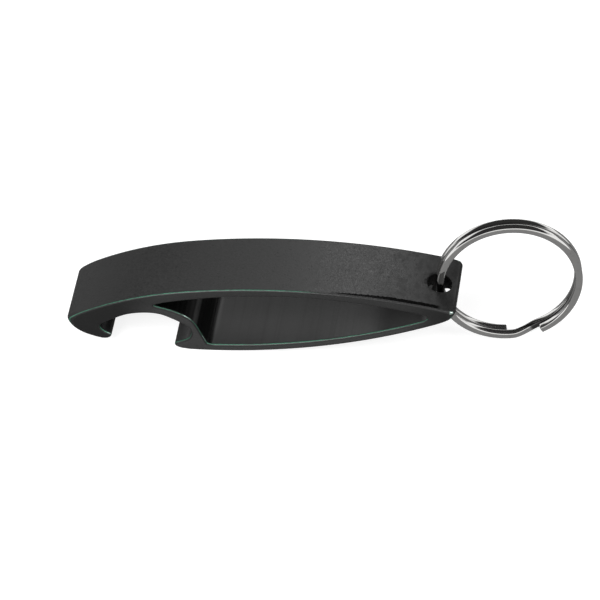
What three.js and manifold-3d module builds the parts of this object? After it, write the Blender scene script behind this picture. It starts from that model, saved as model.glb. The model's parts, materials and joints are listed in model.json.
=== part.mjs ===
// Keychain bottle opener: a length of hollow aluminium profile, cut to width, that
// is held in the palm and levers a crown cap off, with a steel split ring through a
// drilled hole in its tail.
//
// Millimetres, +Z up. X runs along the opener from the hook (-X) to the ring (+X),
// and Y is the direction in which the profile was extruded. The opener stands on its
// hook and on its ring, with the arch upwards. The origin is on the surface that it
// stands on, under the middle of its bounding box.
import * as THREE from 'three';
import { mergeVertices } from 'three/addons/utils/BufferGeometryUtils.js';
import Module from 'manifold-3d';

const wasm = await Module();
wasm.setup();

const DEG = Math.PI / 180;

// ---- driving dimensions ----------------------------------------------------------
// The profile is drawn in (x, z): x from the axis of the ring hole, z from the floor.
const WIDTH = 12.8; // length of profile that is cut off for one opener
const EDGE = 0.3; // radius of the tumbled edges
const EDGE_STEPS = 2;

const BACK = { x: -25.5, z: -98.6, r: 115 }; // long arc of the back
const BROW = { r: 58, from: -45 }; // tighter arc that runs on to the nose
const BELLY = { x: -43.45, z: 103, r: 103 }; // long arc underneath
const CEILING = { x: -25.2, z: -73.85, r: 88.7 }; // cavity, under the back
const CAVITY_FLOOR = { x: -43.45, z: 103, r: 101.5 }; // leaves a 1.5 mm wall below

const HOLE_R = 2.15;
const HOLE_SIDES = 48;

const RING_OD = 25.4;
const WIRE_RADIAL = 1.35;
const WIRE_AXIAL = 1.3;
const LAYER_PITCH = 1.42; // leaves a fine slit between the two turns
const WIRE_CORNER = 0.28;
const RING_SWING = 10.4; // turned about the hole, away from the profile's plane
const RING_LEAN = 6.2; // top of the ring tipped back
const RING_CENTRE_X = 11.82;
const RING_CENTRE_Y = 2.38;
const NEAR_END = -66; // wire end in the near turn, as an angle round the ring
const FAR_END = -95; // wire end in the far turn
const CROSSING = { from: -91, to: -68 }; // where the wire changes turns
const SPRING = { lift: 0.35, arc: 75 }; // the near end stands off the turn behind it
const RING_STEPS = 112;

// ---- materials -------------------------------------------------------------------
const anodised = new THREE.MeshStandardMaterial({
  color: 0x3c3c3d,
  roughness: 0.55,
  metalness: 0.5,
});
const plated = new THREE.MeshStandardMaterial({
  color: 0xc9c9c7,
  roughness: 0.12,
  metalness: 1,
});

// ---- helpers ---------------------------------------------------------------------
// Height of an arc's upper or lower half at x.
const over = (arc, x) => arc.z + Math.sqrt(arc.r ** 2 - (x - arc.x) ** 2);
const under = (arc, x) => arc.z - Math.sqrt(arc.r ** 2 - (x - arc.x) ** 2);

// The brow arc leaves the back arc without a kink, so its centre lies on the line
// from the back arc's centre to the point where they meet.
const browX = BROW.from + (BACK.x - BROW.from) * (BROW.r / BACK.r);
const browZ = over(BACK, BROW.from) + (BACK.z - over(BACK, BROW.from)) * (BROW.r / BACK.r);
const brow = { x: browX, z: browZ, r: BROW.r };

// Points of an arc between two x values, ends included.
function arcPoints(height, arc, from, to, count) {
  return Array.from({ length: count + 1 }, (_, i) => {
    const x = from + ((to - from) * i) / count;
    return new THREE.Vector2(x, height(arc, x));
  });
}

// Points of a smooth curve through a few places.
function smooth(places, count) {
  const curve = new THREE.SplineCurve(places.map(([x, z]) => new THREE.Vector2(x, z)));
  return curve.getPoints(count);
}

function toSolid(geometry) {
  const bare = geometry.clone();
  bare.deleteAttribute('normal');
  bare.deleteAttribute('uv');
  const merged = mergeVertices(bare, 1e-4);
  return new wasm.Manifold(
    new wasm.Mesh({
      numProp: 3,
      vertProperties: new Float32Array(merged.attributes.position.array),
      triVerts: new Uint32Array(merged.index.array),
    }),
  );
}

function fromSolid(solid) {
  const mesh = solid.getMesh();
  const geometry = new THREE.BufferGeometry();
  geometry.setAttribute('position', new THREE.BufferAttribute(mesh.vertProperties, 3));
  geometry.setIndex(new THREE.BufferAttribute(mesh.triVerts, 1));
  geometry.computeVertexNormals();
  return geometry;
}

// ---- opener body -----------------------------------------------------------------
// The outline runs along the back from the tail to the nose, under the nose to the
// lip, through the mouth to the tooth, and along the belly back to the tail.
function bodyOutline() {
  const tail = [[1.6, under(BELLY, 1.6)], [2.55, 10.95], [3.15, 11.75], [3.35, 12.35], [3.2, 12.73], [2.75, 12.86]];
  const nose = [[-65.55, 7.0], [-66.1, 6.5], [-66.2, 5.8], [-65.85, 4.95]];
  const chin = [[-65.85, 4.95], [-65.1, 4.1], [-63.7, 3.15], [-61.8, 2.3], [-60.3, 1.85]];
  const lip = [[-60.3, 1.85], [-59.4, 1.9], [-58.75, 2.3], [-58.55, 2.8], [-58.9, 3.2]];
  const lipPocket = [[-58.9, 3.2], [-59.8, 3.8], [-60.35, 4.8], [-59.7, 5.8], [-58.3, 6.65]];
  const mouth = [[-58.3, 6.65], [-55.2, 8.3], [-52, 9.0], [-49.2, 8.85], [-46.9, 7.75], [-45, 6.5]];
  const toothPocket = [[-45, 6.5], [-44.15, 5.6], [-43.9, 4.3], [-44.5, 2.95], [-45.8, 2.15], [-46.9, 1.7]];
  const tooth = [[-46.9, 1.7], [-47.3, 1.2], [-47.05, 0.7], [-46.2, 0.28], [-44.6, 0.02]];
  const stretches = [
    arcPoints(over, BACK, 2.4, BROW.from, 20),
    arcPoints(over, brow, BROW.from, -65.55, 10),
    smooth(nose, 5),
    smooth(chin, 5),
    smooth(lip, 7),
    smooth(lipPocket, 8),
    smooth(mouth, 12),
    smooth(toothPocket, 10),
    smooth(tooth, 8),
    arcPoints(under, BELLY, -43, 1.6, 18),
    smooth(tail, 9),
  ];
  return withoutRepeats(stretches.flat());
}

// The cavity lightens the profile: a long pocket between back and belly that ends on
// a slanting wall behind the tooth.
function cavityOutline() {
  const heel = [[-40.6, 1.56], [-41.3, 1.75], [-41.6, 2.4]];
  const wall = [[-41.6, 2.4], [-42.35, 4.8], [-43.1, 6.9], [-44.4, 8.5], [-46.9, 9.9], [-49.4, 10.75]];
  const front = [[-49.4, 10.75], [-49.85, 11.0], [-49.6, 11.3], [-48.9, 11.55]];
  const tip = [[-2.6, 11.95], [-1.75, 11.5], [-1.55, 10.9], [-2.2, 10.25]];
  const stretches = [
    smooth(heel, 3),
    smooth(wall, 12),
    smooth(front, 5),
    arcPoints(over, CEILING, -48.2, -3.4, 20),
    smooth(tip, 6),
    arcPoints(under, CAVITY_FLOOR, -2.9, -40.5, 18),
  ];
  return withoutRepeats(stretches.flat());
}

function withoutRepeats(points) {
  const apart = 0.12;
  const kept = points.filter((p, i) => i === 0 || p.distanceTo(points[i - 1]) > apart);
  if (kept[0].distanceTo(kept[kept.length - 1]) < apart) kept.pop();
  return kept;
}

function openerBody() {
  const shape = new THREE.Shape(bodyOutline());
  shape.holes.push(new THREE.Path(cavityOutline()));
  const profile = new THREE.ExtrudeGeometry(shape, {
    depth: WIDTH - 2 * EDGE,
    bevelSize: EDGE,
    bevelThickness: EDGE,
    bevelOffset: -EDGE,
    bevelSegments: EDGE_STEPS,
    curveSegments: 1,
  });
  // The shape's y becomes +Z and the extrusion runs along -Y.
  profile.rotateX(90 * DEG);
  profile.translate(0, WIDTH / 2 - EDGE, 0);

  const drill = new THREE.CylinderGeometry(HOLE_R, HOLE_R, 40, HOLE_SIDES);
  drill.rotateX(90 * DEG);
  drill.translate(0, 0, 10);

  const body = new THREE.Mesh(fromSolid(toSolid(profile).subtract(toSolid(drill))), anodised);
  body.name = 'opener_body';
  return body;
}

// ---- split ring ------------------------------------------------------------------
// One wire goes nearly twice round. Angles start at the side away from the opener and
// rise over the top. The wire starts in the near turn, crosses over at the bottom and
// ends in the far turn.
class RingWire extends THREE.Curve {
  getPoint(t, target = new THREE.Vector3()) {
    const first = NEAR_END;
    const last = FAR_END + 720;
    const angle = first + (last - first) * t;
    const across = (angle - (CROSSING.from + 360)) / (CROSSING.to - CROSSING.from);
    const eased = THREE.MathUtils.smoothstep(across, 0, 1);
    const sprung = 1 - THREE.MathUtils.smoothstep((angle - first) / SPRING.arc, 0, 1);
    const radius = (RING_OD - WIRE_RADIAL) / 2;
    return target.set(
      radius * Math.cos(angle * DEG),
      radius * Math.sin(angle * DEG),
      LAYER_PITCH * (0.5 - eased) + SPRING.lift * sprung,
    );
  }
}

function splitRing() {
  const a = WIRE_AXIAL / 2;
  const r = WIRE_RADIAL / 2;
  const c = WIRE_CORNER;
  const section = new THREE.Shape([
    new THREE.Vector2(-a + c, -r),
    new THREE.Vector2(a - c, -r),
    new THREE.Vector2(a, -r + c),
    new THREE.Vector2(a, r - c),
    new THREE.Vector2(a - c, r),
    new THREE.Vector2(-a + c, r),
    new THREE.Vector2(-a, r - c),
    new THREE.Vector2(-a, -r + c),
  ]);
  const wire = new THREE.ExtrudeGeometry(section, {
    extrudePath: new RingWire(),
    steps: RING_STEPS,
  });
  const ring = new THREE.Mesh(fromSolid(toSolid(wire)), plated);
  ring.name = 'split_ring';
  // The ring's own axis is its local Z. It stands up, leans back, swings out and is
  // lowered until the wire touches the floor.
  ring.rotation.set((90 - RING_LEAN) * DEG, 0, RING_SWING * DEG, 'ZYX');
  ring.position.set(RING_CENTRE_X, RING_CENTRE_Y, 0);
  ring.position.z = -new THREE.Box3().setFromObject(ring, true).min.z;
  return ring;
}

// ---- assembly --------------------------------------------------------------------
const opener = new THREE.Group();
opener.add(openerBody(), splitRing());
opener.updateMatrixWorld(true);
const extent = new THREE.Box3().setFromObject(opener, true);
const middle = extent.getCenter(new THREE.Vector3());
opener.position.set(-middle.x, -middle.y, -extent.min.z);

export default opener;
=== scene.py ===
# %% [markdown]
# # A keychain bottle opener
#
# The object has two pieces. The body is a slice of hollow aluminium profile, drawn
# through a die, sawn to 12.8 mm, tumbled, blasted and anodised black. Through a hole in
# its tail goes a split ring of nickel-plated spring wire.
#
# The working model that this script loads already has every size and place. Here both
# pieces are made again, with the roundings and finishes that the eye looks for.

# %% Load the working model
import json
from math import cos, pi, radians, sin, sqrt

import bmesh
import bpy
from mathutils import Matrix, Vector
from mathutils.geometry import interpolate_bezier

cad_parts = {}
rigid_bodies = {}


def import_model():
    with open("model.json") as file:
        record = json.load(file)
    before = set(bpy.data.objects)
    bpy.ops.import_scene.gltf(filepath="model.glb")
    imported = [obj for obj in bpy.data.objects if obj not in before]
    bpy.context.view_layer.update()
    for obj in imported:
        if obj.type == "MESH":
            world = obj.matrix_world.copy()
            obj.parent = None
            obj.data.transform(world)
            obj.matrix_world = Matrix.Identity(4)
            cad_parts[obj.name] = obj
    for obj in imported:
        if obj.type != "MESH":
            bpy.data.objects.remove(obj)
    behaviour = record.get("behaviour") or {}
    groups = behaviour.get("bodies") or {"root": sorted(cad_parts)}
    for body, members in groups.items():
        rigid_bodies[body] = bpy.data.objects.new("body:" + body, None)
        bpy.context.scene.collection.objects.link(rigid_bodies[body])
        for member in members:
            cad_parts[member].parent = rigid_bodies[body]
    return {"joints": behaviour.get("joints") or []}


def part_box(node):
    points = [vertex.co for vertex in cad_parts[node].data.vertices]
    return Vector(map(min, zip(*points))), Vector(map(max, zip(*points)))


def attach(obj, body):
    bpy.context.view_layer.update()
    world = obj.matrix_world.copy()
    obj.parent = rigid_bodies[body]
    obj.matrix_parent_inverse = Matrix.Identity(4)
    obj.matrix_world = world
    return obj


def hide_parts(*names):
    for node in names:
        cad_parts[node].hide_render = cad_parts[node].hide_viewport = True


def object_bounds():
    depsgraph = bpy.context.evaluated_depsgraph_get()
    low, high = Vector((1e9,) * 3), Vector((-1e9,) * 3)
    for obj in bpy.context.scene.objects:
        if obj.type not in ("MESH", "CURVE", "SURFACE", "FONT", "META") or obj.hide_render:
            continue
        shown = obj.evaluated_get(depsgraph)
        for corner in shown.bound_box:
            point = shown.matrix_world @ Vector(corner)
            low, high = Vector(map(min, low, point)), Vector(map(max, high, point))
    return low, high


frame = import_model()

MM = 0.001
cad_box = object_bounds()
hinge = next(joint for joint in frame["joints"] if joint["name"] == "ring_swivel")
hole_x = hinge["pos_m"][0]  # the profile below is drawn from the axis of the ring hole
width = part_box("opener_body")[1].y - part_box("opener_body")[0].y
ring_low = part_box("split_ring")[0]
print("hole axis at x =", hole_x, "m, body", round(width / MM, 2), "mm wide")

# %% [markdown]
# ## The camera
#
# The opener is seen from the front, well above it, through a long lens that hardly
# shows any perspective. A camera can be aimed with a Track To constraint, but that
# can't tip it sideways. So its three axes are worked out from the azimuth, the
# elevation and the roll, and become the columns of its matrix.

# %% Camera
CAMERA_AZIMUTH = radians(13.896)
CAMERA_ELEVATION = radians(46.996)
CAMERA_ROLL = radians(-7.555)
CAMERA_DISTANCE = 601.7 * MM
CAMERA_AIM = Vector((-2.85, -5.73, 13.73)) * MM
LENS = 208.3


def place_camera():
    forward = Vector((
        -sin(CAMERA_AZIMUTH) * cos(CAMERA_ELEVATION),
        cos(CAMERA_AZIMUTH) * cos(CAMERA_ELEVATION),
        -sin(CAMERA_ELEVATION),
    ))
    level = Vector((cos(CAMERA_AZIMUTH), sin(CAMERA_AZIMUTH), 0))
    right = level * cos(CAMERA_ROLL) + level.cross(forward) * sin(CAMERA_ROLL)
    up = right.cross(forward)
    turn = Matrix((right, up, -forward)).transposed().to_4x4()
    lens = bpy.data.cameras.new("camera")
    lens.lens = LENS
    lens.clip_start = 0.01
    camera = bpy.data.objects.new("camera", lens)
    camera.matrix_world = Matrix.Translation(CAMERA_AIM - forward * CAMERA_DISTANCE) @ turn
    bpy.context.scene.collection.objects.link(camera)
    bpy.context.scene.camera = camera
    return camera


camera = place_camera()
print("camera at", [round(c, 3) for c in camera.matrix_world.translation])

# %% [markdown]
# ## The profile
#
# The body's shape is all in its cross-section. Long arcs make the back and the belly.
# The nose, the lip and the tooth that grip a crown cap are tight free curves. A traced
# list of hundreds of points would do it, but nobody could change it afterwards. Here
# arcs have a centre and a radius, and each free curve goes smoothly through a few
# places that a draughtsman would pick.

# %% Arcs and free curves, in millimetres from the axis of the ring hole
BACK = (-25.5, -98.6, 115)  # centre x, centre z, radius
BROW_RADIUS = 58
BROW_START = -45
BELLY = (-43.45, 103, 103)
CEILING = (-25.2, -73.85, 88.7)
CAVITY_FLOOR = (-43.45, 103, 101.5)
CURVE_STEPS = 7  # pieces between two places of a free curve


def along(x):
    """The model's x at a place that is drawn x millimetres from the ring hole."""
    return hole_x + x * MM


def arc_height(arc, x, side):
    """Height of an arc's upper (side 1) or lower (side -1) half at x."""
    return arc[1] + side * sqrt(arc[2] ** 2 - (x - arc[0]) ** 2)


def arc_points(arc, side, start, end, steps):
    xs = [start + (end - start) * i / steps for i in range(steps + 1)]
    return [(x, arc_height(arc, x, side)) for x in xs]


def free_curve(*places):
    """A smooth curve through the places, with each span a Bezier piece."""
    knots = [Vector((x, z, 0)) for x, z in places]
    ends = [knots[0]] + knots + [knots[-1]]
    points = []
    for before, start, end, after in zip(ends, ends[1:], ends[2:], ends[3:]):
        leave = start + (end - before) / 6
        arrive = end - (after - start) / 6
        points += interpolate_bezier(start, leave, arrive, end, CURVE_STEPS + 1)
    return [(p.x, p.y) for p in points]


def without_repeats(points, apart=0.06):
    kept = [points[0]]
    for point in points[1:]:
        if (Vector(point) - Vector(kept[-1])).length > apart:
            kept.append(point)
    if (Vector(kept[0]) - Vector(kept[-1])).length < apart:
        kept.pop()
    return kept


# The brow leaves the back without a kink: its centre is on the line to the back's centre.
share = BROW_RADIUS / BACK[2]
brow_z = arc_height(BACK, BROW_START, 1)
BROW = (
    BROW_START + (BACK[0] - BROW_START) * share,
    brow_z + (BACK[1] - brow_z) * share,
    BROW_RADIUS,
)

# %% The outline, from the tail along the back to the nose and home under the belly
outline = without_repeats(
    arc_points(BACK, 1, 2.4, BROW_START, 64)
    + arc_points(BROW, 1, BROW_START, -65.55, 34)
    + free_curve((-65.55, 7.0), (-66.1, 6.5), (-66.2, 5.8), (-65.85, 4.95))  # nose
    + free_curve((-65.85, 4.95), (-65.1, 4.1), (-63.7, 3.15), (-61.8, 2.3), (-60.3, 1.85))
    + free_curve((-60.3, 1.85), (-59.4, 1.9), (-58.75, 2.3), (-58.55, 2.8), (-58.9, 3.2))
    + free_curve((-58.9, 3.2), (-59.8, 3.8), (-60.35, 4.8), (-59.7, 5.8), (-58.3, 6.65))
    + free_curve((-58.3, 6.65), (-55.2, 8.3), (-52, 9.0), (-49.2, 8.85),
                 (-46.9, 7.75), (-45, 6.5))  # mouth
    + free_curve((-45, 6.5), (-44.15, 5.6), (-43.9, 4.3), (-44.5, 2.95),
                 (-45.8, 2.15), (-46.9, 1.7))
    + free_curve((-46.9, 1.7), (-47.3, 1.2), (-47.05, 0.7), (-46.2, 0.28), (-44.6, 0.02))
    + arc_points(BELLY, -1, -43, 1.6, 48)
    + free_curve((1.6, arc_height(BELLY, 1.6, -1)), (2.55, 10.95), (3.15, 11.75),
                 (3.35, 12.35), (3.2, 12.73), (2.75, 12.86))  # tail
)
cavity = without_repeats(
    free_curve((-40.6, 1.56), (-41.3, 1.75), (-41.6, 2.4))  # heel
    + free_curve((-41.6, 2.4), (-42.35, 4.8), (-43.1, 6.9), (-44.4, 8.5),
                 (-46.9, 9.9), (-49.4, 10.75))
    + free_curve((-49.4, 10.75), (-49.85, 11.0), (-49.6, 11.3), (-48.9, 11.55))
    + arc_points(CEILING, 1, -48.2, -3.4, 48)
    + free_curve((-2.6, 11.95), (-1.75, 11.5), (-1.55, 10.9), (-2.2, 10.25))
    + arc_points(CAVITY_FLOOR, -1, -2.9, -40.5, 48)
)
print(len(outline), "points round the outside,", len(cavity), "round the cavity")

# %% [markdown]
# ## The body
#
# A bevel round the rim of an extrusion tangles where the cap is cut into many
# triangles. The body is therefore grown the way an edge is rounded by hand: the walls
# are pulled forward from the middle of the slice, the end is filled, and then the end
# face is drawn in a little and pushed out a little, six times, along a quarter circle.
# One half is enough, because the slice is the same on both sides; a mirror makes the
# other. Each stretch keeps a material number, so that every finish knows its faces.

# %% Walls pulled forward from a wire
EDGE = 0.42 * MM  # how far back from the end face the tumbled edges start
CORNER = 1.2 * MM  # radius of the corners at the nose and the tail, seen from above
COARSE_STEPS = 6  # from the middle of the slice to the corners
FINE_STEPS = 6  # along the corners
ZONES = 5
BACK_ZONE, SAWN_ZONE, CAVITY_ZONE, EDGE_ZONE, BORE_ZONE = range(ZONES)


def of_kind(geometry, kind):
    return [g for g in geometry if isinstance(g, kind)]


def closed_wire(bm, points):
    corners = [bm.verts.new((along(x), 0, z * MM)) for x, z in points]
    return [bm.edges.new(pair) for pair in zip(corners, corners[1:] + corners[:1])]


def pull_walls(bm, edges, zone):
    """Draws the wall forward from a closed wire, and gives the wire at its front."""
    coarse = (width / 2 - CORNER) / COARSE_STEPS
    fine = (CORNER - EDGE) / FINE_STEPS
    for reach in [coarse] * COARSE_STEPS + [fine] * FINE_STEPS:
        made = bmesh.ops.extrude_edge_only(bm, edges=edges)["geom"]
        front = set(of_kind(made, bmesh.types.BMVert))
        bmesh.ops.translate(bm, verts=list(front), vec=(0, -reach, 0))
        for face in of_kind(made, bmesh.types.BMFace):
            face.material_index = zone
        edges = [e for e in of_kind(made, bmesh.types.BMEdge) if front.issuperset(e.verts)]
    return edges


# %% Rounded rims and corners
EDGE_FACE = 0.3 * MM  # how far the tumbled edges reach into the end face
EDGE_STEPS = 6
CORNER_REACH = 3 * CORNER  # how far from the nose or the tail a corner is still felt


def round_rim(bm, faces):
    """Draws the end face in and pushes it out along a quarter circle."""
    quarter = [pi / 2 * i / EDGE_STEPS for i in range(EDGE_STEPS + 1)]
    for start, end in zip(quarter, quarter[1:]):
        inset = bmesh.ops.inset_region(
            bm, faces=faces, thickness=EDGE_FACE * (cos(start) - cos(end)),
            use_boundary=True, use_even_offset=True,
        )
        for face in inset["faces"]:
            face.material_index = EDGE_ZONE
        corners = list({v for face in faces for v in face.verts})
        bmesh.ops.translate(bm, verts=corners, vec=(0, -EDGE * (sin(end) - sin(start)), 0))


def round_corners(bm):
    """Draws the nose and the tail in towards both sides, as tumbling wears them."""
    nose, tail = min(v.co.x for v in bm.verts), max(v.co.x for v in bm.verts)
    for vert in bm.verts:
        t = max(0, abs(vert.co.y) - (width / 2 - CORNER)) / CORNER
        draw_in = CORNER * (1 - sqrt(max(0, 1 - t * t)))
        from_nose = min(1, (vert.co.x - nose) / CORNER_REACH)
        from_tail = min(1, (tail - vert.co.x) / CORNER_REACH)
        vert.co.x += draw_in * ((1 - from_nose) ** 2 - (1 - from_tail) ** 2)


# %% A slice of profile
TINY = MM / 1000  # points that are closer than this are one point


def slice_of_profile():
    bm = bmesh.new()
    front = pull_walls(bm, closed_wire(bm, outline), BACK_ZONE)
    front += pull_walls(bm, closed_wire(bm, cavity), CAVITY_ZONE)
    filled = bmesh.ops.triangle_fill(bm, edges=front, use_beauty=True, normal=(0, -1, 0))
    end_face = of_kind(filled["geom"], bmesh.types.BMFace)
    for face in end_face:
        face.material_index = SAWN_ZONE
    round_rim(bm, end_face)
    bmesh.ops.mirror(
        bm, geom=bm.verts[:] + bm.edges[:] + bm.faces[:],
        matrix=Matrix.Identity(4), merge_dist=TINY, axis="Y",
    )
    round_corners(bm)
    bmesh.ops.recalc_face_normals(bm, faces=bm.faces[:])
    folded = sum(f.material_index == SAWN_ZONE and abs(f.normal.y) < 0.9 for f in bm.faces)
    open_edges = sum(not e.is_manifold for e in bm.edges)
    print(len(bm.faces), "faces,", folded, "folded,", open_edges, "open edges, volume",
          round(bm.calc_volume() / MM ** 3), "mm3")
    return bm


def to_object(bm, name, zones=1):
    """Makes an object with an empty material slot for each zone."""
    mesh = bpy.data.meshes.new(name)
    for _ in range(zones):
        mesh.materials.append(None)
    bm.to_mesh(mesh)
    bm.free()
    made = bpy.data.objects.new(name, mesh)
    bpy.context.scene.collection.objects.link(made)
    return made


body = to_object(slice_of_profile(), "anodised_body", ZONES)

# %% [markdown]
# ## The ring hole
#
# The hole is drilled straight down through the tail, and its upper rim is broken with a
# larger bit. A cutter shaped like that drill, with its flare, does both in one Boolean.
# The back slopes where the hole meets it, so after the cutter's profile has been spun
# round, its upper half is sheared until the flare lies along the back.

# %% A cutter shaped like the drill
HOLE_RADIUS = 2.15 * MM
RIM = 0.12 * MM  # radius of the broken rim
HOLE_SIDES = 96
RIM_STEPS = 4


def cutter_profile(low, high):
    """From the axis out, up the hole's wall, along its flare, and back to the axis."""
    quarter = [pi / 2 * i / RIM_STEPS for i in range(RIM_STEPS + 1)]
    upper = [(HOLE_RADIUS + RIM * (1 - cos(a)), high + RIM * (sin(a) - 1)) for a in quarter]
    foot = [(0, low - MM), (HOLE_RADIUS, low - MM), (HOLE_RADIUS, low)]
    return foot + upper + [(HOLE_RADIUS + RIM, high + MM), (0, high + MM)]


def drill():
    high = arc_height(BACK, 0, 1) * MM
    low = arc_height(BELLY, 0, -1) * MM
    bm = bmesh.new()
    stations = [bm.verts.new((r, 0, z)) for r, z in cutter_profile(low, high)]
    edges = [bm.edges.new(pair) for pair in zip(stations, stations[1:])]
    bmesh.ops.spin(
        bm, geom=stations + edges, cent=(0, 0, 0), axis=(0, 0, 1),
        angle=2 * pi, steps=HOLE_SIDES, use_merge=True,
    )
    bmesh.ops.remove_doubles(bm, verts=bm.verts[:], dist=TINY)
    slope = BACK[0] / (high / MM - BACK[1])
    upper = [v for v in bm.verts if v.co.z > (low + high) / 2]
    bmesh.ops.transform(bm, verts=upper, matrix=Matrix.Shear("YZ", 4, (0, slope)))
    bmesh.ops.translate(bm, verts=bm.verts[:], vec=(hole_x, 0, 0))
    bmesh.ops.recalc_face_normals(bm, faces=bm.faces[:])
    for face in bm.faces:
        face.material_index = BORE_ZONE
    return to_object(bm, "drill", ZONES)


# %% Drill the tail
CREASE = 35  # degrees; a sharper bend than this stays an edge


def cut_away(piece, cutter):
    cut = piece.modifiers.new("hole", "BOOLEAN")
    cut.object = cutter
    cut.operation = "DIFFERENCE"
    cut.solver = "EXACT"
    cut.material_mode = "INDEX"
    evaluated = piece.evaluated_get(bpy.context.evaluated_depsgraph_get())
    result = bpy.data.meshes.new_from_object(evaluated)
    piece.modifiers.clear()
    piece.data = result
    bpy.data.objects.remove(cutter)


def smooth_with_creases(piece):
    piece.data.shade_smooth()
    piece.data.set_sharp_from_angle(angle=radians(CREASE))


cut_away(body, drill())
smooth_with_creases(body)
print("drilled body:", len(body.data.polygons), "faces")

# %% [markdown]
# ## The split ring
#
# A split ring is one piece of flat-sided wire, wound not quite twice round and pressed
# flat, so that it crosses from one turn to the other in a short S. A Screw modifier
# would make an even helix and no S. Spin turns a section round an axis and can shift
# it along that axis at each step, so the ring is made as a winding machine makes it:
# step by step, with no shift along the turns and a smooth one at the crossing and at
# the sprung end. The two ends are blunt cuts, slightly dressed.

# %% The path of the wire
WIRE_RADIAL = 1.35 * MM
RING_OUTSIDE = 25.4 * MM
RING_RADIUS = (RING_OUTSIDE - WIRE_RADIAL) / 2
PITCH = 1.42 * MM  # from turn to turn, which leaves a fine slit
NEAR_END, FAR_END = -66, -95 + 720  # degrees round the ring
CROSSING_START, CROSSING_END = -91 + 360, -68 + 360
SPRING_LIFT, SPRING_ARC = 0.35 * MM, 75  # the near end stands off over this many degrees


def smoothstep(x):
    x = min(max(x, 0), 1)
    return x * x * (3 - 2 * x)


def wire_height(angle):
    """How far along the ring's axis the wire lies at an angle."""
    across = smoothstep((angle - CROSSING_START) / (CROSSING_END - CROSSING_START))
    sprung = 1 - smoothstep((angle - NEAR_END) / SPRING_ARC)
    return PITCH * (0.5 - across) + SPRING_LIFT * sprung


print("wire from", NEAR_END, "to", FAR_END, "degrees")

# %% The section of the wire and its ends
WIRE_AXIAL = 1.3 * MM
WIRE_CORNER = 0.42 * MM
CORNER_STEPS = 6
END_DRESSING = 0.16 * MM


def wire_section(bm):
    """The edges of a rounded rectangle, standing at the place where the wire starts."""
    bmesh.ops.create_grid(bm, x_segments=1, y_segments=1, size=0.5)
    bmesh.ops.scale(bm, verts=bm.verts[:], vec=(WIRE_RADIAL, WIRE_AXIAL, 1))
    bmesh.ops.bevel(
        bm, geom=bm.verts[:], offset=WIRE_CORNER, segments=CORNER_STEPS,
        affect="VERTICES", profile=0.5, material=-1,
    )
    bmesh.ops.delete(bm, geom=bm.faces[:], context="FACES_ONLY")
    upright = Matrix.Rotation(pi / 2, 4, "X")
    place = Matrix.Translation((RING_RADIUS, 0, wire_height(NEAR_END)))
    start = Matrix.Rotation(radians(NEAR_END), 4, "Z")
    bmesh.ops.transform(bm, verts=bm.verts[:], matrix=start @ place @ upright)
    return bm.verts[:] + bm.edges[:]


def dress_end(bm, edges):
    """Closes one end of the wire and rounds its rim."""
    bmesh.ops.contextual_create(bm, geom=edges)
    bmesh.ops.bevel(
        bm, geom=edges, offset=END_DRESSING, segments=3,
        affect="EDGES", profile=0.5, material=-1, clamp_overlap=True,
    )


# %% Wind the wire
STEP_DEGREES = 2.5


def wind_wire():
    bm = bmesh.new()
    section = wire_section(bm)
    first = of_kind(section, bmesh.types.BMEdge)
    steps = round((FAR_END - NEAR_END) / STEP_DEGREES)
    angles = [NEAR_END + (FAR_END - NEAR_END) * i / steps for i in range(steps + 1)]
    for here, there in zip(angles, angles[1:]):
        shift = wire_height(there) - wire_height(here)
        turned = bmesh.ops.spin(
            bm, geom=section, cent=(0, 0, 0), axis=(0, 0, 1),
            dvec=(0, 0, shift), angle=radians(there - here), steps=1,
        )
        section = turned["geom_last"]
    last = of_kind(section, bmesh.types.BMEdge)
    dress_end(bm, first)
    dress_end(bm, last)
    bmesh.ops.recalc_face_normals(bm, faces=bm.faces[:])
    return bm


# %% [markdown]
# The ring hangs through the hole, swings a little out of the profile's plane and leans
# back until it rests on the floor. Its mesh, and not its object, is turned and moved.

# %% Stand the ring up in its hole
RING_SWING = radians(10.4)
RING_LEAN = radians(6.2)
RING_CENTRE = Vector((along(11.82), 2.38 * MM, 0))
ring_turn = Matrix.Rotation(RING_SWING, 4, "Z") @ Matrix.Rotation(pi / 2 - RING_LEAN, 4, "X")


def stand_up(bm):
    bmesh.ops.transform(bm, verts=bm.verts[:], matrix=ring_turn)
    lift = ring_low.z - min(v.co.z for v in bm.verts)
    centre = RING_CENTRE + Vector((0, 0, lift))
    bmesh.ops.translate(bm, verts=bm.verts[:], vec=centre)
    open_edges = sum(not e.is_manifold for e in bm.edges)
    print("ring:", len(bm.faces), "faces,", open_edges, "open edges")
    return centre


wire = wind_wire()
ring_centre = stand_up(wire)
ring = to_object(wire, "nickel_split_ring")
smooth_with_creases(ring)

# %% [markdown]
# ## Writing shaders as sums
#
# Node trees are slow to read, and most of their nodes are arithmetic. The small class
# below wraps an output socket, so that an expression on it adds its Math nodes. All
# other nodes come from one method, which is given the node's type, its settings and
# what goes into its inputs.

# %% A socket that does arithmetic, and a shader that makes nodes
def operation(name, flipped=False):
    def apply(self, other):
        terms = {0: other, 1: self} if flipped else {0: self, 1: other}
        return self.shader.node("Math", {"operation": name}, terms)
    return apply


class Value:
    """The output of a node."""

    def __init__(self, shader, socket):
        self.shader = shader
        self.socket = socket

    __add__ = operation("ADD")
    __radd__ = operation("ADD", flipped=True)
    __sub__ = operation("SUBTRACT")
    __rsub__ = operation("SUBTRACT", flipped=True)
    __mul__ = operation("MULTIPLY")
    __rmul__ = operation("MULTIPLY", flipped=True)
    __truediv__ = operation("DIVIDE")


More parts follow.
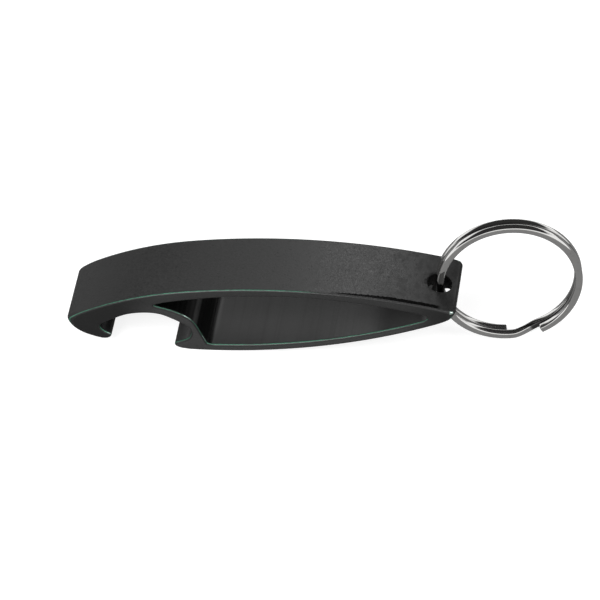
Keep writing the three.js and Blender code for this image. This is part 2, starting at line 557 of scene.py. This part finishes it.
class Shader:
    """Makes and links the nodes of a material or a world."""

    def __init__(self, owner):
        owner.use_nodes = True
        self.tree = owner.node_tree
        self.tree.nodes.clear()

    def node(self, kind, settings=None, inputs=None, output=0):
        made = self.tree.nodes.new("ShaderNode" + kind)
        for name, value in (settings or {}).items():
            setattr(made, name, value)
        for key, value in (inputs or {}).items():
            if isinstance(value, Value):
                self.tree.links.new(value.socket, made.inputs[key])
            else:
                made.inputs[key].default_value = value
        return Value(self, made.outputs[output]) if made.outputs else None

    def ramp(self, value, start, end):
        """0 below start, 1 above end, and smooth between them; end may be the lower one."""
        return self.node(
            "MapRange", {"interpolation_type": "SMOOTHSTEP"},
            {"Value": value, "From Min": start, "From Max": end},
        )

    def between(self, value, rise, fall):
        """1 in a band; rise and fall each say where it is 0 and where it is 1."""
        return self.ramp(value, *rise) * self.ramp(value, *fall)

    def axes(self, place, names):
        """The coordinates of a place that are named."""
        return [self.node("SeparateXYZ", None, {0: place}, output=name) for name in names]

    def mix(self, factor, first, second):
        """One colour turning into another."""
        return self.node(
            "Mix", {"data_type": "RGBA"}, {0: factor, 6: first, 7: second}, output=2,
        )

    def noise(self, place, scale, detail=2, stretch=(1, 1, 1)):
        """Noise whose size is given per millimetre."""
        spread = self.node(
            "Mapping", None,
            {"Vector": place, "Scale": [scale * s / MM for s in stretch]},
        )
        return self.node("TexNoise", None, {"Vector": spread, "Scale": 1, "Detail": detail})

    def surface(self, **inputs):
        shaded = self.node("BsdfPrincipled", None, inputs)
        self.node("OutputMaterial", None, {"Surface": shaded})


def grey(value):
    return (value, value, value, 1)


# %% [markdown]
# ## Black anodising
#
# Anodising grows a thin layer of clear oxide out of the aluminium, and the layer is
# dyed. It isn't paint: the surface under it keeps its texture, so one coat looks
# different on the blasted back, on the sawn and tumbled ends, on the drawn walls of the
# cavity and in the bore. All of them share the dye and its small drifts in shade, and
# each adds its own grain, gloss and bump. The patterns read Object coordinates, in
# metres, so they are the real size of the grain.

# %% The dyed coat that all zones share
DYE = 0.017  # how light the black is
GRAIN_DEPTH = 0.02 * MM
BACK_BEGINS = (11.4 * MM, 12.2 * MM)  # over these heights the rim passes on to the back


def dyed_coat(shader, place, lightness, grain, grain_scale):
    """The dye with a slow drift and a fine grain, and the grain itself for the bump."""
    drift = shader.noise(place, 0.12, detail=3)
    speckle = shader.noise(place, grain_scale, detail=2)
    shade = DYE * lightness * (1 + 0.22 * (drift - 0.5) + grain * (speckle - 0.5))
    colour = shader.node(
        "CombineColor", None, {"Red": shade, "Green": shade * 1.005, "Blue": shade},
    )
    return colour, drift, speckle


def spot(shader, x, z, centre, radius):
    """1 at a place on the profile, in millimetres from the ring hole, and 0 past a radius."""
    dx = (x - along(centre[0])) / MM
    dz = (z - centre[1] * MM) / MM
    return shader.ramp(dx * dx + dz * dz, radius ** 2, (0.5 * radius) ** 2)


def height_bump(shader, height, strength, depth=GRAIN_DEPTH):
    return shader.node(
        "Bump", None, {"Height": height, "Strength": strength, "Distance": depth},
    )


# %% [markdown]
# The back and belly are blasted with fine beads. That leaves an even, silky grain with
# a few dark pits. The nose and the tail are darkened with painted shade, and the
# drilling jig has mottled the tail. The tooth's pocket is made paler with painted light,
# and the lip's pocket is made blackest with painted shade. Along the near edge a ragged
# black line is a painted dark reflection. The line is set out from the edge of the slice,
# and noise tears its border. It is given as a black metal, because even a black paint
# would still reflect the lamps.

# %% Painted dark reflection along the edge
# black for painted dark reflections and painted shade
PAINTED_BLACK = 0.003  # as good as no light comes back from it
DARK_LINE_START = along(-19)
DARK_LINE_END = along(0.5)


def painted_dark_line(shader, place):
    """A painted dark reflection: a ragged line along the near edge of the back that widens
    towards the tail.
    """
    x, y, z = shader.axes(place, "XYZ")
    ragged = (shader.noise(place, 2.4, detail=3) - 0.5) * (0.5 * MM)
    widening = shader.ramp(x, DARK_LINE_START - 2 * MM, DARK_LINE_END - 7 * MM)
    inside = width / 2 - EDGE - 0.2 * MM - widening * (0.55 * MM)
    beside = shader.ramp(-1 * y + ragged, inside, inside + 0.1 * MM)
    starts = shader.ramp(x, DARK_LINE_START, DARK_LINE_START + 3 * MM)
    stops = shader.ramp(x, DARK_LINE_END + 0.6 * MM, DARK_LINE_END - 0.4 * MM)
    on_back = shader.ramp(z, *BACK_BEGINS)
    return beside * starts * stops * on_back


# %% Blasted back and belly
LIT_TOOTH_POCKET = ((-44.2, 4.3), 2.8)  # place and radius


def blasted_black():
    material = bpy.data.materials.new("blasted_black")
    shader = Shader(material)
    place = shader.node("TexCoord", output="Object")
    x, z = shader.axes(place, "XZ")
    # painted light: the tooth's pocket is made paler
    tooth_light = spot(shader, x, z, *LIT_TOOTH_POCKET)
    colour, drift, speckle = dyed_coat(shader, place, 1.0 + 0.9 * tooth_light, 1.2, 2.6)
    pits = shader.ramp(shader.noise(place, 2.1, detail=1), 0.66, 0.74)
    tail = shader.ramp(x, along(-16), hole_x)
    mottle = shader.ramp(shader.noise(place, 0.8, detail=5), 0.4, 0.68)
    # painted shade: the nose and the tail are made darker
    shaded_ends = shader.ramp(x, along(-5), along(2)) * 0.6
    shaded_ends = shaded_ends + shader.ramp(x, along(-50), along(-66)) * 0.6
    # painted shade: the lip's pocket is made blackest
    lip_pocket_shade = shader.between(x, (along(-61), along(-60.5)), (along(-57.8), along(-58.4)))
    lip_pocket_shade = lip_pocket_shade * shader.ramp(z, 7.6 * MM, 6.6 * MM)
    # pits and mottle belong to the finish; the darker ends and the lip's pocket are painted
    # shade
    pits_mottle_and_shade = pits * 0.5 + mottle * tail * 0.3 * (1 - shaded_ends) + shaded_ends + lip_pocket_shade * 0.8
    colour = shader.mix(pits_mottle_and_shade, colour, grey(DYE * 0.2))
    # painted dark reflection along the near edge of the back
    dark_reflection = painted_dark_line(shader, place)
    shader.surface(**{
        "Base Color": shader.mix(dark_reflection, colour, grey(PAINTED_BLACK)),
        "Metallic": dark_reflection,
        "Roughness": 0.41 + 0.1 * (drift - 0.5) + 0.38 * (speckle - 0.5) + 0.12 * mottle * tail,
        "Specular IOR Level": 0.33,
        "Normal": height_bump(shader, speckle - 0.6 * pits, 0.6),
    })
    return material


# %% [markdown]
# The ends are sawn, and tumbling in ceramic chips has worn the saw marks to a matt,
# nearly even face. Faint traces of the blade still cross it. The thin walls are painted
# paler than the broad nose and tail, as painted light, a little less so near the top.

# %% Sawn and tumbled ends
def sawn_black():
    material = bpy.data.materials.new("sawn_black")
    shader = Shader(material)
    place = shader.node("TexCoord", output="Object")
    x, z = shader.axes(place, "XZ")
    # painted light: the thin walls are made paler, less so near the top
    thin_wall_light = shader.between(x, (along(-57), along(-48)), (along(3), along(-8)))
    thin_wall_light = thin_wall_light * (1 - 0.4 * shader.ramp(z, 10 * MM, 12 * MM))
    colour, drift, speckle = dyed_coat(shader, place, 0.66 + 1.8 * thin_wall_light, 0.6, 3.0)
    blade = shader.noise(place, 3.5, detail=2, stretch=(1, 1, 0.04))
    shader.surface(**{
        "Base Color": colour,
        "Roughness": 0.5 + 0.08 * (drift - 0.5) + 0.1 * (blade - 0.5),
        "Specular IOR Level": 0.35,
        "Normal": height_bump(shader, speckle + 0.6 * blade, 0.1),
    })
    return material


# %% [markdown]
# Blasting and tumbling hardly reach into the cavity. Its walls keep the gloss of the
# extrusion die and the fine lines that the die drew along the profile, so the noise is
# squeezed across the walls and stretched along the extrusion, which is Y. The middle of
# the cavity is made lighter with a painted sheen, its deep end and its narrow end darker
# with painted shade, and two black bands of painted shade lie on the slanting wall behind
# the tooth.

# %% Drawn walls of the cavity
def drawn_black():
    material = bpy.data.materials.new("drawn_black")
    shader = Shader(material)
    place = shader.node("TexCoord", output="Object")
    x, z = shader.axes(place, "XZ")
    deep = shader.ramp(x, along(-24), along(-38))
    painted_sheen = shader.between(x, (along(-24), along(-15)), (along(-9), along(-13)))
    tip_shade = shader.ramp(x, along(-12), along(-8))
    # painted sheen in the middle of the cavity; painted shade at its deep end and its narrow
    # tip
    lightness = 1.65 - 0.45 * deep + 1.1 * painted_sheen - 0.7 * tip_shade
    colour, _, _ = dyed_coat(shader, place, lightness, 0.2, 3.0)
    lines = shader.noise(place, 1.6, detail=4, stretch=(1, 0.012, 1))
    bands = shader.noise(place, 0.35, detail=2, stretch=(1, 0.02, 1))
    colour = shader.mix(shader.ramp(lines, 0.45, 0.75) * 0.3, colour, grey(DYE * 0.6))
    slanting_wall = shader.ramp(x, along(-40.35), along(-40.8))
    low = shader.ramp(z, 6.5 * MM, 5.9 * MM)
    high = shader.ramp(z, 7.1 * MM, 7.6 * MM)
    # painted shade: two black bands on the slanting wall behind the tooth
    shade_bands = slanting_wall * (low + high) * (0.9 + 0.5 * (lines - 0.5))
    shader.surface(**{
        "Base Color": shader.mix(shade_bands, colour, grey(PAINTED_BLACK)),
        "Metallic": shade_bands,
        "Roughness": 0.34 + 0.08 * deep + 0.1 * (bands - 0.5) + 0.18 * (lines - 0.5),
        "Specular IOR Level": 0.4,
        "Normal": height_bump(shader, lines, 0.04),
    })
    return material


# %% [markdown]
# On the rounded edges the coat is thinnest, and it is polished by keys and pockets. A
# greenish band along them is partly this wear and partly a painted highlight. The band is
# strongest between a quarter and a third of the way round the edge, which is worked out
# from the distance to the middle of the slice.
# On the tail half of the back the band is left out, and on the far side it is mostly left
# out, as painted shade. The web, the heel and the lip carry painted glints, and the tail's
# corners a painted glint of pale metal.

# %% Rounded edges
# greenish tint that is partly edge wear and partly a painted highlight; pale tints for painted
# glints
EDGE_WEAR_AND_HIGHLIGHT = (0.06, 0.19, 0.125, 1)
GLINT_TINT = (0.42, 0.6, 0.52, 1)
CORNER_GLINT = (0.6, 0.75, 0.68, 1)
GLINT_SPOTS = (  # place and radius
    ((-44.3, 8.3), 1.1),  # web
    ((-41.9, 3.0), 0.9),  # heel
    ((-58.9, 2.6), 0.9),  # lip
)


def worn_and_highlit_edge():
    material = bpy.data.materials.new("worn_and_highlit_edge")
    shader = Shader(material)
    place = shader.node("TexCoord", output="Object")
    colour, _, speckle = dyed_coat(shader, place, 0.9, 0.4, 3.6)
    x, y, z = shader.axes(place, "XYZ")
    depth = shader.node("Math", {"operation": "ABSOLUTE"}, {0: y}) - (width / 2 - EDGE)
    inner = shader.ramp(depth, 0.16 * EDGE, 0.38 * EDGE)
    outer = shader.ramp(depth, 0.7 * EDGE, 0.48 * EDGE)
    patchy = shader.ramp(shader.noise(place, 0.9, detail=3), 0.3, 0.6)
    # painted shade: the band is left out on the tail half of the back
    tail_half = shader.ramp(x, along(-27), along(-19))
    unlit_stretch = tail_half * shader.ramp(z, *BACK_BEGINS)
    far = shader.ramp(y, -1 * MM, 1 * MM)
    # partly edge wear and partly a painted highlight, mostly left out on the far side as
    # painted shade
    wear_and_highlight = inner * outer * (0.4 + 0.6 * patchy) * (1 - unlit_stretch) * (1 - 0.8 * far)
    # painted glint at the tail's corners
    corner_glint = shader.ramp(x, along(2.3), along(2.7)) * shader.ramp(z, 12.3 * MM, 12.6 * MM)
    # painted glints on the web, the heel and the lip
    glints = sum(spot(shader, x, z, *place_and_size) for place_and_size in GLINT_SPOTS)
    colour = shader.mix(wear_and_highlight, colour, shader.mix(glints, EDGE_WEAR_AND_HIGHLIGHT, GLINT_TINT))
    shader.surface(**{
        "Base Color": shader.mix(corner_glint, colour, CORNER_GLINT),
        "Metallic": (0.45 + 0.5 * glints) * wear_and_highlight + corner_glint,
        "Roughness": 0.42 - 0.1 * wear_and_highlight - 0.2 * corner_glint + 0.1 * (speckle - 0.5),
        "Specular IOR Level": 0.4,
        "Normal": height_bump(shader, speckle, 0.08),
    })
    return material


# %% [markdown]
# The drill leaves rings on the wall of the hole, and the wall is painted darker than any
# other place on the body, as painted shade.

# %% Wall of the bore
def bored_black():
    material = bpy.data.materials.new("bored_black")
    shader = Shader(material)
    place = shader.node("TexCoord", output="Object")
    # painted shade: the bore is made the blackest place on the body
    colour, drift, speckle = dyed_coat(shader, place, 0.5, 0.3, 4.0)
    rings = shader.noise(place, 5.0, detail=2, stretch=(0.05, 0.05, 1))
    shader.surface(**{
        "Base Color": colour,
        "Roughness": 0.42 + 0.15 * (rings - 0.5) + 0.1 * (drift - 0.5),
        "Normal": height_bump(shader, rings + 0.3 * speckle, 0.2),
    })
    return material


# %% [markdown]
# ## Nickel plate
#
# The spring wire is barrel-plated with bright nickel. It mirrors whatever is near it,
# so most of its look is in the lights. What is its own is a faintly warm white, drawing
# lines that follow the wire and small scuffs from other keys. The slit between the turns
# is darkened with painted shade. To follow the wire, a Mapping node undoes the ring's own
# turn, and the pattern is drawn by angle and radius.

# %% Plated wire
NICKEL = (1.0, 0.992, 0.975)  # faintly warm
SLIT_EDGE, SLIT_DEEP = 0.3 * MM, 0.1 * MM  # where the painted shade in the slit between the turns sets in
SCRATCH_DEPTH = 0.01 * MM


def nickel_plate():
    material = bpy.data.materials.new("nickel_plate")
    shader = Shader(material)
    place = shader.node("TexCoord", output="Object")
    flat = shader.node(
        "Mapping", {"vector_type": "TEXTURE"},
        {"Vector": place, "Location": ring_centre, "Rotation": ring_turn.to_euler()},
    )
    x, y, z = shader.axes(flat, "XYZ")
    angle = shader.node("Math", {"operation": "ARCTAN2"}, {0: y, 1: x})
    radius = shader.node("Math", {"operation": "SQRT"}, {0: x * x + y * y})
    unrolled = shader.node(
        "CombineXYZ", None, {"X": angle * RING_RADIUS, "Y": radius, "Z": z},
    )
    drawn = shader.noise(unrolled, 9.0, detail=2, stretch=(0.02, 1, 1))
    scuffs = shader.ramp(shader.noise(place, 1.3, detail=4), 0.56, 0.72)
    haze = shader.noise(place, 0.3, detail=3)
    from_slit = shader.node("Math", {"operation": "ABSOLUTE"}, {0: z})
    slit_shade = shader.ramp(from_slit, SLIT_EDGE, SLIT_DEEP)
    # painted shade in the slit between the turns
    tone = (0.80 - 0.1 * scuffs + 0.06 * (haze - 0.5)) * (1 - 0.85 * slit_shade)
    channels = {name: tone * share for name, share in zip(("Red", "Green", "Blue"), NICKEL)}
    colour = shader.node("CombineColor", None, channels)
    shader.surface(**{
        "Base Color": colour,
        "Metallic": 1.0,
        "Roughness": 0.07 + 0.08 * scuffs + 0.05 * (drawn - 0.5) + 0.03 * (haze - 0.5),
        "Normal": height_bump(shader, drawn + 0.4 * scuffs, 0.05, SCRATCH_DEPTH),
    })
    return material


# %% Give each piece its materials
def dress(piece, *materials):
    for zone, material in enumerate(materials):
        piece.data.materials[zone] = material


dress(body, blasted_black(), sawn_black(), drawn_black(), worn_and_highlit_edge(), bored_black())
dress(ring, nickel_plate())
print("body zones:", sorted({face.material_index for face in body.data.polygons}))

# %% [markdown]
# ## Floor and light
#
# The opener stands on a plain white table in a light tent. Dark anodising and bright
# nickel are shaped by what they mirror: pale walls low down all round, a dark strip
# high up behind, and soft boxes above, two in front and two behind. The walls are lower
# at the left. The front lamps light only the body and the table, and the back ones only
# the body: on the ring they would make hard white streaks, and it has the walls to
# mirror. The table is white for the camera but throws less light up at the object, as a
# table with a black cloth round it does.

# %% Table
FLOOR_SIZE = 0.8
FLOOR_GAP = 0.02 * MM  # keeps the table just clear of the ring
CLOTH, MUTED_CLOTH = 0.4, 0.2  # for the camera, and for all other rays
FLOOR_GLOW = 0.82


def make_floor():
    bm = bmesh.new()
    bmesh.ops.create_grid(bm, x_segments=2, y_segments=2, size=FLOOR_SIZE / 2)
    bmesh.ops.translate(bm, verts=bm.verts[:], vec=(0, 0, min(cad_box[0].z, 0) - FLOOR_GAP))
    floor = to_object(bm, "table")
    material = bpy.data.materials.new("table_white")
    shader = Shader(material)
    seen = shader.node("LightPath", output="Is Camera Ray")
    cloth = shader.node("BsdfDiffuse", None, {"Color": grey(CLOTH)})
    lit_through = shader.node("Emission", None, {"Strength": FLOOR_GLOW})
    pale = shader.node("AddShader", None, {0: cloth, 1: lit_through})
    muted = shader.node("BsdfDiffuse", None, {"Color": grey(MUTED_CLOTH)})
    either = shader.node("MixShader", None, {0: seen, 1: muted, 2: pale})
    shader.node("OutputMaterial", None, {"Surface": either})
    dress(floor, material)
    return floor


table = make_floor()
print("table", FLOOR_SIZE, "m wide")

# %% Walls of the light tent, as the world
DARKEST, BRIGHTEST = 0.03, 0.98


def make_world():
    world = bpy.data.worlds.new("tent")
    bpy.context.scene.world = world
    shader = Shader(world)
    way = shader.node("TexCoord", output="Generated")
    x, y, z = shader.axes(way, "XYZ")
    sideways = shader.node("Math", {"operation": "ABSOLUTE"}, {0: x - 0.2})
    behind = shader.ramp(y, 0, 0.1)
    back_panel = shader.ramp(sideways, 0.55, 0.46) * shader.ramp(z, 0.18, 0.28) * behind
    lower_left = 0.2 * shader.ramp(x, 0.0, -0.3)
    walls = shader.ramp(z + lower_left, 0.6, 0.46) * (1 - back_panel)
    strength = DARKEST + (BRIGHTEST - DARKEST) * walls
    light = shader.node("Background", None, {"Color": grey(1), "Strength": strength})
    plain = shader.node("Background", None, {"Color": grey(1), "Strength": 1.0})
    seen = shader.node("LightPath", output="Is Camera Ray")
    either = shader.node("MixShader", None, {0: seen, 1: light, 2: plain})
    shader.node("OutputWorld", None, {"Surface": either})


make_world()
print("world:", bpy.context.scene.world.name)

# %% Soft boxes
def soft_box(name, azimuth, elevation, distance, size, strength):
    """An area light that looks at the object; azimuth 0 is the front, 90 the right."""
    a, e = radians(azimuth), radians(elevation)
    away = Vector((sin(a) * cos(e), -cos(a) * cos(e), sin(e)))
    lamp = bpy.data.lights.new(name, "AREA")
    lamp.shape = "RECTANGLE"
    lamp.size, lamp.size_y = size
    lamp.energy = strength
    light = bpy.data.objects.new(name, lamp)
    turn = away.to_track_quat("Z", "Y").to_matrix().to_4x4()
    light.matrix_world = Matrix.Translation(away * distance) @ turn
    bpy.context.scene.collection.objects.link(light)
    return light


def only_on(light, *pieces):
    """Keeps the light off everything but a few pieces."""
    lit = bpy.data.collections.new(light.name + "_lights")
    for piece in pieces:
        lit.objects.link(piece)
    light.light_linking.receiver_collection = lit


only_on(soft_box("key_left", -38, 52, 0.7, (0.45, 0.45), 5), body, table)
only_on(soft_box("fill_right", 70, 50, 0.8, (0.4, 0.4), 2.5), body, table)
only_on(soft_box("back_strip", 177, 50, 0.8, (0.16, 0.3), 1.0), body)
only_on(soft_box("back_wide", 200, 45, 0.8, (0.4, 0.3), 0.45), body)
print("lamps:", sorted(lamp.name for lamp in bpy.data.lights))

scene = bpy.context.scene
scene.view_settings.view_transform = "Standard"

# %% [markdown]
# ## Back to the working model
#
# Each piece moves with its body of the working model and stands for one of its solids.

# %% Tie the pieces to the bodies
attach(body, "opener")
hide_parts("opener_body")
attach(ring, "ring")
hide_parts("split_ring")
